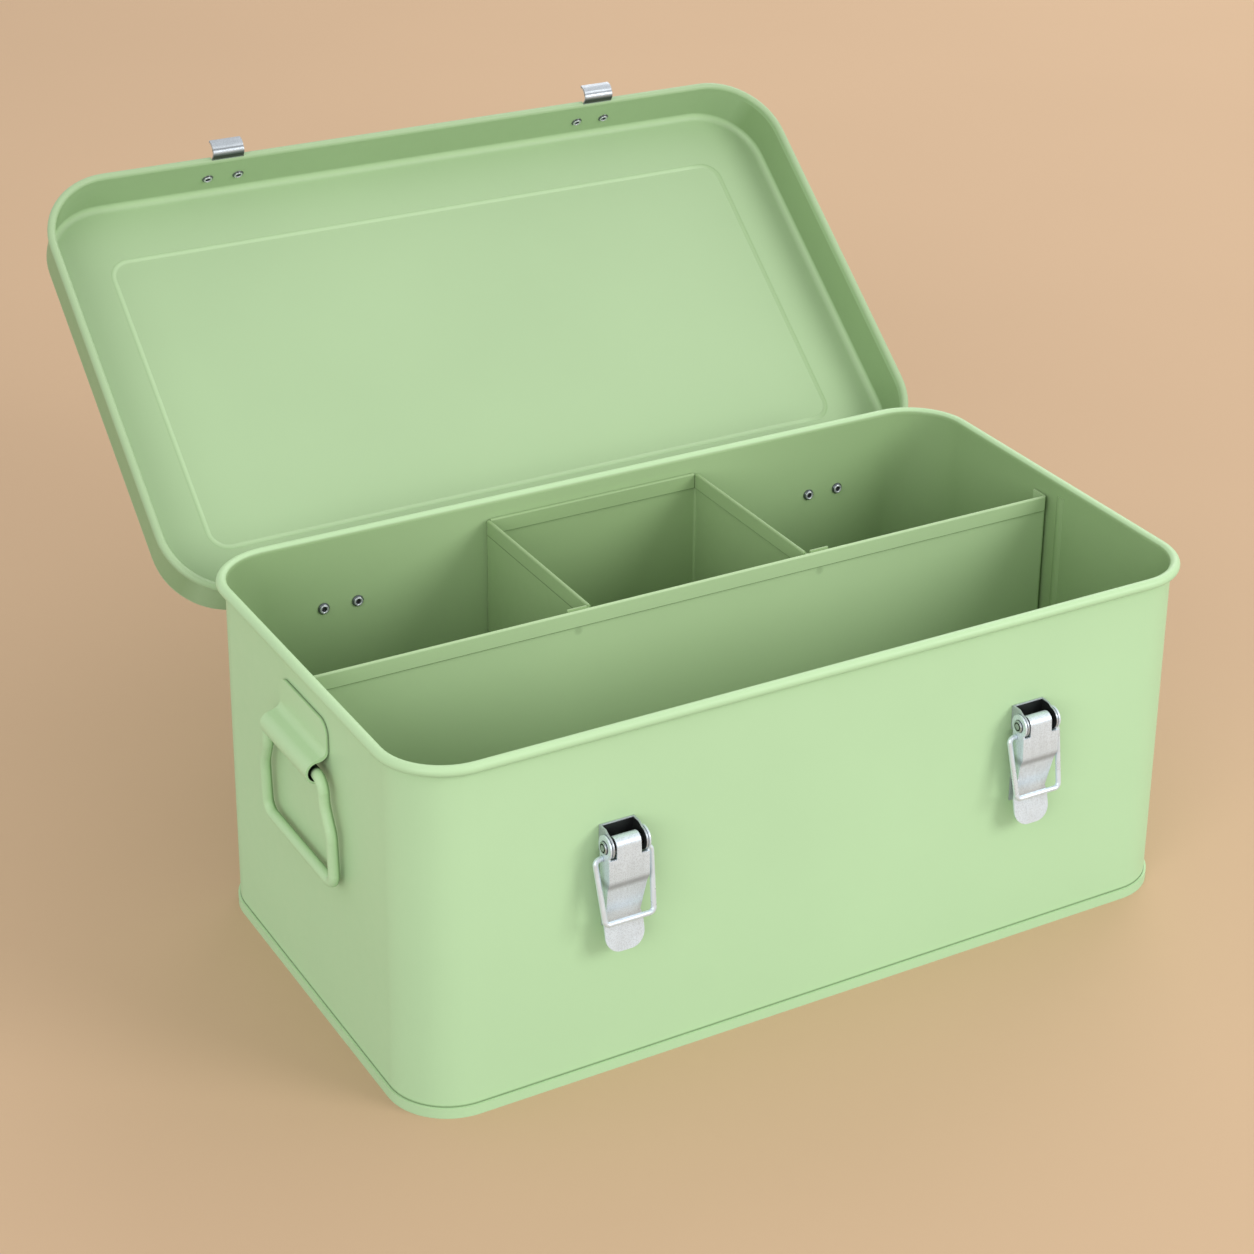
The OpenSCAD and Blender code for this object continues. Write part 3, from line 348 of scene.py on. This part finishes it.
def lid_marks(n, paint, relief):
    """Painted highlight on the shoulder bend and on the pressed line; painted shade at the line's right end
    and the skirt's ends.
    """
    place = closed_lid(n)
    x, _, z = n.axes(place)
    reach = corner_reach(n, place, LID_LINE_HALF, LID_LINE_R)
    off = n.number("ABSOLUTE", n.number("SUBTRACT", reach, LID_LINE_R))
    crest = n.spread(off, 0.5, 0, 0.3 * LID_LINE_W, 0.9 * LID_LINE_W)
    level = n.number("ABSOLUTE", n.number("SUBTRACT", z, LID_BEND_Z))
    bend = n.spread(level, 0.7, 0, *BEND_FADE)
    # Painted shade on the skirt towards its ends
    height = n.number("COMPARE", z, (LID_BEND_Z + LID_BEAD_TOP) / 2, (LID_BEND_Z - LID_BEAD_TOP) / 2)
    ends = n.spread(n.number("ABSOLUTE", x), 0, 0.5, *SKIRT_X)
    paint = n.blend(n.number("MULTIPLY", ends, height), paint, linear(DEEP_SHADE_GREEN))
    # Painted highlight along the pressed line, turning to painted shade at its right end
    far = n.spread(x, 0, 1, *LINE_X)
    lit = n.blend(far, linear(LID_HIGHLIGHT_GREEN), linear(DEEP_SHADE_GREEN))
    paint = n.blend(crest, paint, lit)
    return n.blend(bend, paint, linear(LID_HIGHLIGHT_GREEN)), relief


def divider_marks(n, paint, relief):
    """Painted shade line under the folded hem of a divider."""
    _, _, z = n.axes()
    line = n.number("COMPARE", z, DIVIDER_TOP - HEM_H, HEM_LINE_HALF)
    return n.blend(n.number("MULTIPLY", line, 0.8), paint, linear(WELD_AND_SHADE_GREEN)), relief


def long_marks(n, paint, relief):
    """Painted deeper shade, painted shade line under the hem and in the gaps at the ends, and two spot
    welds on the long divider.
    """
    x, y, z = n.axes()
    paint, relief = divider_marks(n, painted_deeper_shade(n, paint, 0.12, 0.2), relief)
    # Painted shade in the gap at each end, on the front of the flange
    front = n.number("LESS_THAN", y, DIVIDER_FRONT + GAP_SHADE_DEPTH)
    gap_shade = n.number("GREATER_THAN", n.number("ABSOLUTE", x), DIVIDER_END)
    gap_shade = n.number("MULTIPLY", n.number("MULTIPLY", gap_shade, front),
                    n.number("LESS_THAN", z, GAP_SHADE_TOP))
    paint = n.blend(gap_shade, paint, linear(SHADE_GREEN))
    across = n.number("SUBTRACT", n.number("ABSOLUTE", x), WELD_X)
    reach = radius(n, across, n.number("SUBTRACT", z, WELD_Z))
    front = n.number("LESS_THAN", y, DIVIDER_FRONT + 0.1 * MM)
    dent = n.number("MULTIPLY", n.spread(reach, 1, 0, 0.4 * WELD_R, WELD_R), front)
    paint = n.blend(n.number("MULTIPLY", dent, 0.25), paint, linear(WELD_AND_SHADE_GREEN))
    return paint, n.bump(dent, -1.0, 0.4 * MM, relief)


def cross_marks(n, paint, relief):
    """Painted deeper shade, and the painted shade line under the hem, on the sheet that makes the short
    dividers.
    """
    return divider_marks(n, painted_deeper_shade(n, paint), relief)


def barrel_marks(n, paint, relief):
    """Painted shade in the bore of a handle barrel and on the edge of its plate next to the wall."""
    x, _, z = n.axes()
    reach = radius(n, n.number("SUBTRACT", n.number("ABSOLUTE", x), BARREL[0]),
                   n.number("SUBTRACT", z, BARREL[1]))
    # Painted shade in the bore and on the plate's edge
    bore = n.number("LESS_THAN", reach, BARREL_BORE + 0.3 * MM)
    edge = n.spread(n.number("ABSOLUTE", x), 0.6, 0, *PLATE_EDGE)
    return n.blend(n.number("MAXIMUM", bore, edge), paint, linear(SHADE_GREEN)), relief


def handle_marks(n, paint, relief):
    """Painted shade on the handle wire where it turns inside the barrel, and along its back."""
    x, y, z = n.axes()
    along = n.number("ABSOLUTE", n.number("SUBTRACT", y, BARREL_Y))
    # Painted shade where the wire enters the barrel
    held = n.number("MULTIPLY", n.spread(along, 1, 0, *ENTRY_Y),
                    n.number("GREATER_THAN", z, HELD_LOW))
    # Painted shade along the wire's back, next to the wall
    middle = n.number("MULTIPLY_ADD", z, WIRE_LEAN, BARREL[0] - WIRE_LEAN * BARREL[1])
    behind = n.number("SUBTRACT", n.number("ABSOLUTE", x), middle)
    back = n.spread(behind, 0.6, 0, *WIRE_BACK)
    paint = n.blend(back, paint, linear(WELD_AND_SHADE_GREEN))
    return n.blend(held, paint, linear(SHADE_GREEN)), relief


def plated_steel(name, colour, rough, grain, metal=0.8, marks=None, speckle=0.35):
    """Satin plated steel with a fine drawn grain, speckle and slightly duller patches."""
    n = Nodes(name)
    streak = n.noise(900, 3, 0.6, grain)
    sheen = n.blend(n.spread(streak, 0, 1), linear(colour, 0.93), linear(colour, 1.04))
    dull = n.spread(n.noise(90, 4, 0.6), 0, 0.35, 0.5, 0.75)
    plate = n.blend(dull, sheen, linear(colour, 0.8))
    speck = n.spread(n.noise(2400, 1), speckle, 0, 0.4, 0.5)
    plate = n.blend(speck, plate, linear(colour, 0.55))
    if marks:
        plate = marks(n, plate)
    n.link(plate, n.shader.inputs["Base Color"])
    n.link(n.spread(n.noise(220, 3), rough - 0.05, rough + 0.07), n.shader.inputs["Roughness"])
    n.link(n.bump(streak, 0.12, 0.03 * MM), n.shader.inputs["Normal"])
    n.shader.inputs["Metallic"].default_value = metal
    return n.material


def from_latch(n, x):
    """Distance sideways from the middle of the nearer latch."""
    return n.number("ABSOLUTE", n.number("SUBTRACT", n.number("ABSOLUTE", x), LATCH_X))


def from_pin(n, y, z):
    """Distance from the axis of the lever pins."""
    return radius(n, n.number("SUBTRACT", y, LATCH_PIN[0]), n.number("SUBTRACT", z, LATCH_PIN[1]))


def ear_marks(n, plate):
    """Painted shade in the hollow between the ears of a latch base."""
    x, _, z = n.axes()
    height = n.number("COMPARE", z, HOLLOW_Z, HOLLOW_HALF)
    hollow = n.number("MULTIPLY", n.number("LESS_THAN", from_latch(n, x), EAR_INSIDE), height)
    return n.blend(hollow, plate, linear(SHADE_DARK_STEEL))


def pin_marks(n, plate):
    """Painted shade on the middle of a lever pin between the ears, and a dark ring painted on its heads."""
    x, y, z = n.axes()
    inner = n.number("LESS_THAN", from_latch(n, x), EAR_INSIDE)
    ring = n.number("COMPARE", from_pin(n, y, z), PIN_RING_R, PIN_RING_HALF)
    return n.blend(n.number("MAXIMUM", inner, ring), plate, linear(SHADE_DARK_STEEL))


def catch_marks(n, plate):
    """Painted shade at the root and along the fold across the hook of a catch plate."""
    _, y, z = n.axes(closed_lid(n))
    out = n.number("SUBTRACT", n.number("MULTIPLY", y, -1.0), CATCH_OUT)
    root = n.spread(out, 0.95, 0, *ROOT_FADE)
    off = n.number("ABSOLUTE", n.number("SUBTRACT", out, CATCH_FOLD))
    fold = n.spread(off, 0.6, 0, *FOLD_FADE)
    shade = n.number("MULTIPLY", n.number("MAXIMUM", root, fold), n.number("LESS_THAN", z, CATCH_LOW))
    return n.blend(shade, plate, linear(SHADE_DARK_STEEL))


def lever_marks(n, plate):
    """Painted shade band where the lever face steps in below its bend, and painted shade inside the roll.
    """
    _, y, z = n.axes()
    off = n.number("ABSOLUTE", n.number("SUBTRACT", z, LEVER_BEND_Z))
    band = n.spread(off, 0.62, 0, *LEVER_BAND)
    # Painted shade band below the bend
    plate = n.blend(band, plate, linear(EAR_STEEL, 0.42))
    rolled = n.number("LESS_THAN", from_pin(n, y, z), ROLL_INSIDE_R)
    return n.blend(rolled, plate, linear(SHADE_DARK_STEEL))


def painted_hollow_shade():
    """Painted shade on steel down inside the hollow of a rivet."""
    n = Nodes("painted_shade_rivet_hollow")
    mottle = n.spread(n.noise(1200, 3), 0, 1)
    n.link(n.blend(mottle, linear(SHADE_DARK_STEEL, 0.7), linear(SHADE_DARK_STEEL, 1.6)),
           n.shader.inputs["Base Color"])
    n.link(n.spread(n.noise(800, 2), 0.5, 0.75), n.shader.inputs["Roughness"])
    n.shader.inputs["Metallic"].default_value = 0.3
    return n.material


def make_materials():
    """Finishes by the name of a node, by that name without its last part, or by slot."""
    up_and_down = (1.0, 1.0, 0.08)
    along = (0.08, 1.0, 1.0)
    even = (1.0, 1.0, 1.0)
    return {
        "body_shell": powder_coat("wall_powder_coat", BODY_GREEN, wall_marks),
        "body_paint": powder_coat("body_powder_coat", BODY_GREEN, inside_marks),
        # Lid and dividers take darker copies of the body's coat, as painted shade
        "lid_paint": powder_coat("lid_powder_coat", LID_SHADED_GREEN, lid_marks),
        "main_divider": powder_coat("long_divider_powder_coat", LONG_SHADED_GREEN, long_marks),
        "divider_paint": powder_coat("short_divider_powder_coat", CROSS_SHADED_GREEN, cross_marks),
        "handle_plate": powder_coat("handle_plate_powder_coat", BODY_GREEN, barrel_marks),
        "handle_bail": powder_coat("handle_wire_powder_coat", BODY_GREEN, handle_marks),
        "latch_base": plated_steel("nickel_base_steel", EAR_STEEL, 0.34, up_and_down, 0.5, ear_marks),
        "latch_bail": plated_steel("nickel_bail_wire", BRIGHT_STEEL, 0.30, up_and_down, 0.45,
                                   speckle=0.05),
        "catch_plate": plated_steel("nickel_catch_steel", EAR_STEEL, 0.34, along, 0.5, catch_marks),
        "latch_pin": plated_steel("nickel_pin_steel", EAR_STEEL, 0.30, along, 0.8, pin_marks),
        "latch_lever": plated_steel("nickel_lever_steel", BRIGHT_STEEL, 0.36, up_and_down, 0.4,
                                    lever_marks),
        "hinge_steel": plated_steel("zinc_hinge_steel", ZINC_STEEL, 0.34, along),
        "pin_steel": plated_steel("zinc_pin_steel", ZINC_STEEL, 0.30, along),
        # Rivet heads take a darker copy of the zinc, as painted shade; their rolled rims keep the plain
        # zinc
        "rivet_steel": plated_steel("zinc_rivet_steel", SHADED_HEAD_STEEL, 0.30, even),
        "rivet_roll": plated_steel("rivet_roll_zinc_steel", ZINC_STEEL, 0.28, even, 0.5),
    }


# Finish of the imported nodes


def geometry_group(name):
    """Empty group of geometry nodes, with its input and output."""
    group = bpy.data.node_groups.new(name, "GeometryNodeTree")
    group.interface.new_socket("Geometry", in_out="INPUT", socket_type="NodeSocketGeometry")
    group.interface.new_socket("Geometry", in_out="OUTPUT", socket_type="NodeSocketGeometry")
    return group, group.nodes.new("NodeGroupInput"), group.nodes.new("NodeGroupOutput")


def join_group():
    """Geometry nodes that join the corners of loose triangles."""
    group, start, end = geometry_group("join_corners")
    join = group.nodes.new("GeometryNodeMergeByDistance")
    join.inputs["Distance"].default_value = 0.002 * MM
    group.links.new(start.outputs[0], join.inputs["Geometry"])
    group.links.new(join.outputs["Geometry"], end.inputs[0])
    return group


def smooth_group():
    """Geometry nodes that shade all but the sharp edges smooth."""
    group, start, end = geometry_group("shade_smooth")
    make = group.nodes.new
    faces, edges = make("GeometryNodeSetShadeSmooth"), make("GeometryNodeSetShadeSmooth")
    edges.domain = "EDGE"
    edge_angle = make("GeometryNodeInputMeshEdgeAngle")
    compare = make("FunctionNodeCompare")
    compare.data_type, compare.operation = "FLOAT", "LESS_THAN"
    compare.inputs[1].default_value = math.radians(SHARP_ANGLE)
    link = group.links.new
    link(start.outputs[0], faces.inputs["Geometry"])
    link(faces.outputs["Geometry"], edges.inputs["Geometry"])
    link(edge_angle.outputs["Unsigned Angle"], compare.inputs[0])
    link(compare.outputs["Result"], edges.inputs["Shade Smooth"])
    link(edges.outputs["Geometry"], end.inputs[0])
    return group


# Width in millimetres by which the edges in a slot are rounded; the other slots stay as cut
EDGE_ROUND = {"handle_paint": 0.3, "latch_steel": 0.15, "hinge_steel": 0.15, "pin_steel": 0.12,
              "rivet_steel": 0.12}


def soften_edges(node, width):
    """Merges the triangles of each flat face, and rounds the sharp edges."""
    flatten = node.modifiers.new("flatten", "DECIMATE")
    flatten.decimate_type = "DISSOLVE"
    flatten.angle_limit = math.radians(FLAT_ANGLE)
    soften = node.modifiers.new("soften", "BEVEL")
    soften.limit_method = "ANGLE"
    soften.angle_limit = math.radians(SHARP_ANGLE)
    soften.width = width
    soften.segments = 2
    soften.use_clamp_overlap = True


def finish_nodes(materials):
    """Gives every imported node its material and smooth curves, and rounds the edges in some slots."""
    join, smooth = join_group(), smooth_group()
    slots = {part["node"]: part["material_slot"] for part in frame["record"]["subparts"]}
    for name, node in frame["nodes"].items():
        slot = slots[name]
        kinds = [kind for kind in (name, name.rsplit("_", 1)[0], slot) if kind in materials]
        node.data.materials.clear()
        node.data.materials.append(materials[kinds[0]])
        node.modifiers.new("join", "NODES").node_group = join
        if slot in EDGE_ROUND:
            soften_edges(node, EDGE_ROUND[slot] * MM)
        node.modifiers.new("smooth", "NODES").node_group = smooth
        even = node.modifiers.new("even", "WEIGHTED_NORMAL")
        even.keep_sharp = True
        even.weight = 100


# Small details


def rivet_places():
    """Each hollow rivet as its body, the middle of its head and the way it faces, lid closed."""
    forwards, backwards = Vector((0, -1, 0)), Vector((0, 1, 0))
    places = []
    for side in (-1, 1):
        for pitch in (-HINGE_HALF_PITCH, HINGE_HALF_PITCH):
            x = side * HINGE_X + pitch
            places.append(("box", Vector((x, BOX_HEAD_Y, HINGE_BOX_Z)), forwards))
            places.append(("lid", Vector((x, LID_HEAD_Y, HINGE_LID_Z)), forwards))
        for pitch in (-CATCH_HALF_PITCH, CATCH_HALF_PITCH):
            x = side * LATCH_X + pitch
            places.append(("lid", Vector((x, -LID_HEAD_Y, CATCH_Z)), backwards))
    return places


def rivet_turn(body, place, out):
    """Matrix that sets a piece made facing +Z into a rivet head, on the lid in its open place."""
    turn = Matrix.Translation(place) @ out.to_track_quat("Z", "Y").to_matrix().to_4x4()
    if body == "lid":
        back = Matrix.Translation(-HINGE_LINE)
        turn = Matrix.Translation(HINGE_LINE) @ Matrix.Rotation(LID_OPEN, 4, "X") @ back @ turn
    return turn


def add_piece(name, mesh, body, material):
    """Object of a finished mesh, which rides on a body."""
    data = bpy.data.meshes.new(name)
    for face in mesh.faces:
        face.smooth = True
    mesh.to_mesh(data)
    mesh.free()
    data.materials.append(material)
    piece = bpy.data.objects.new(name, data)
    bpy.context.scene.collection.objects.link(piece)
    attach(piece, body)


def rivet_eye():
    """Dished end down inside the hollow of a rivet."""
    eye = bmesh.new()
    bmesh.ops.create_circle(eye, cap_ends=True, radius=EYE_R, segments=24)
    rim = bmesh.ops.inset_region(eye, faces=eye.faces[:], thickness=0.45 * EYE_R)
    dish = [face for face in eye.faces if face not in rim["faces"]]
    low = [vertex for face in dish for vertex in face.verts]
    bmesh.ops.translate(eye, verts=low, vec=(0, 0, -EYE_DISH))
    return eye


def rivet_roll():
    """Metal rolled over round the eye, as a ring whose lower half is in the head."""
    roll = bmesh.new()
    ring = bmesh.ops.create_circle(roll, radius=ROLL_T, segments=14)["verts"]
    bmesh.ops.rotate(roll, verts=ring, cent=(0, 0, 0), matrix=Matrix.Rotation(math.pi / 2, 3, "X"))
    bmesh.ops.translate(roll, verts=ring, vec=(ROLL_R, 0, 0))
    bmesh.ops.spin(roll, geom=roll.verts[:] + roll.edges[:], cent=(0, 0, 0), axis=(0, 0, 1),
                   dvec=(0, 0, 0), angle=2 * math.pi, steps=32, use_merge=True)
    bmesh.ops.remove_doubles(roll, verts=roll.verts, dist=0.001 * MM)
    bmesh.ops.recalc_face_normals(roll, faces=roll.faces)
    return roll


def add_rivet_ends(steel):
    """The eye, in painted shade, and the rolled metal of every hollow rivet."""
    hollow_shade = painted_hollow_shade()
    for number, (body, place, out) in enumerate(rivet_places(), 1):
        eye, roll = rivet_eye(), rivet_roll()
        turn = rivet_turn(body, place - out * EYE_DEPTH, out)
        bmesh.ops.transform(eye, matrix=turn, verts=eye.verts)
        turn = rivet_turn(body, place, out)
        bmesh.ops.transform(roll, matrix=turn, verts=roll.verts)
        add_piece(f"rivet_eye_{number}", eye, body, hollow_shade)
        add_piece(f"rivet_roll_{number}", roll, body, steel)


# Studio


def add_floor():
    """Paper floor: tan to the eye and in reflections, neutral in the light that it throws back."""
    mesh = bmesh.new()
    bmesh.ops.create_grid(mesh, x_segments=1, y_segments=1, size=FLOOR_HALF)
    data = bpy.data.meshes.new("floor")
    mesh.to_mesh(data)
    mesh.free()
    floor = bpy.data.objects.new("floor", data)
    bpy.context.scene.collection.objects.link(floor)
    n = Nodes("floor_paper")
    paper = n.blend(n.spread(n.noise(3, 2), 0, 1), linear(FLOOR_TAN, 0.985), linear(FLOOR_TAN, 1.01))
    rays = n.tree.nodes.new("ShaderNodeLightPath").outputs
    seen = n.number("ADD", rays["Is Camera Ray"], rays["Is Glossy Ray"], clamp=True)
    seen = n.number("ADD", seen, rays["Is Transmission Ray"], clamp=True)
    n.link(n.blend(seen, linear(FLOOR_BOUNCE), paper), n.shader.inputs["Base Color"])
    n.link(n.bump(n.noise(900, 2), 0.08, 0.1 * MM), n.shader.inputs["Normal"])
    n.shader.inputs["Roughness"].default_value = 0.9
    n.shader.inputs["Specular IOR Level"].default_value = 0.15
    data.materials.append(n.material)


def add_lamp(name, azimuth, elevation, size, power):
    """Round softbox that faces the box, in degrees from the front and from the floor."""
    a, e = math.radians(azimuth), math.radians(elevation)
    away = Vector((math.sin(a) * math.cos(e), -math.cos(a) * math.cos(e), math.sin(e)))
    data = bpy.data.lights.new(name, "AREA")
    data.shape = "DISK"
    data.size = size
    data.energy = power
    lamp = bpy.data.objects.new(name, data)
    lamp.location = LAMP_AIM + LAMP_DISTANCE * away
    lamp.rotation_euler = (-away).to_track_quat("-Z", "Y").to_euler()
    bpy.context.scene.collection.objects.link(lamp)


def add_studio():
    """Floor, softboxes and even light of the world."""
    add_floor()
    for lamp in LAMPS:
        add_lamp(*lamp)
    world = bpy.data.worlds.new("studio")
    world.use_nodes = True
    sky = world.node_tree.nodes["Background"]
    sky.inputs["Color"].default_value = linear(WORLD_GREY)
    sky.inputs["Strength"].default_value = WORLD_STRENGTH
    bpy.context.scene.world = world
    bpy.context.scene.view_settings.view_transform = "Standard"


add_camera()
MATERIALS = make_materials()
finish_nodes(MATERIALS)
add_rivet_ends(MATERIALS["rivet_roll"])
add_studio()
bpy.context.view_layer.update()
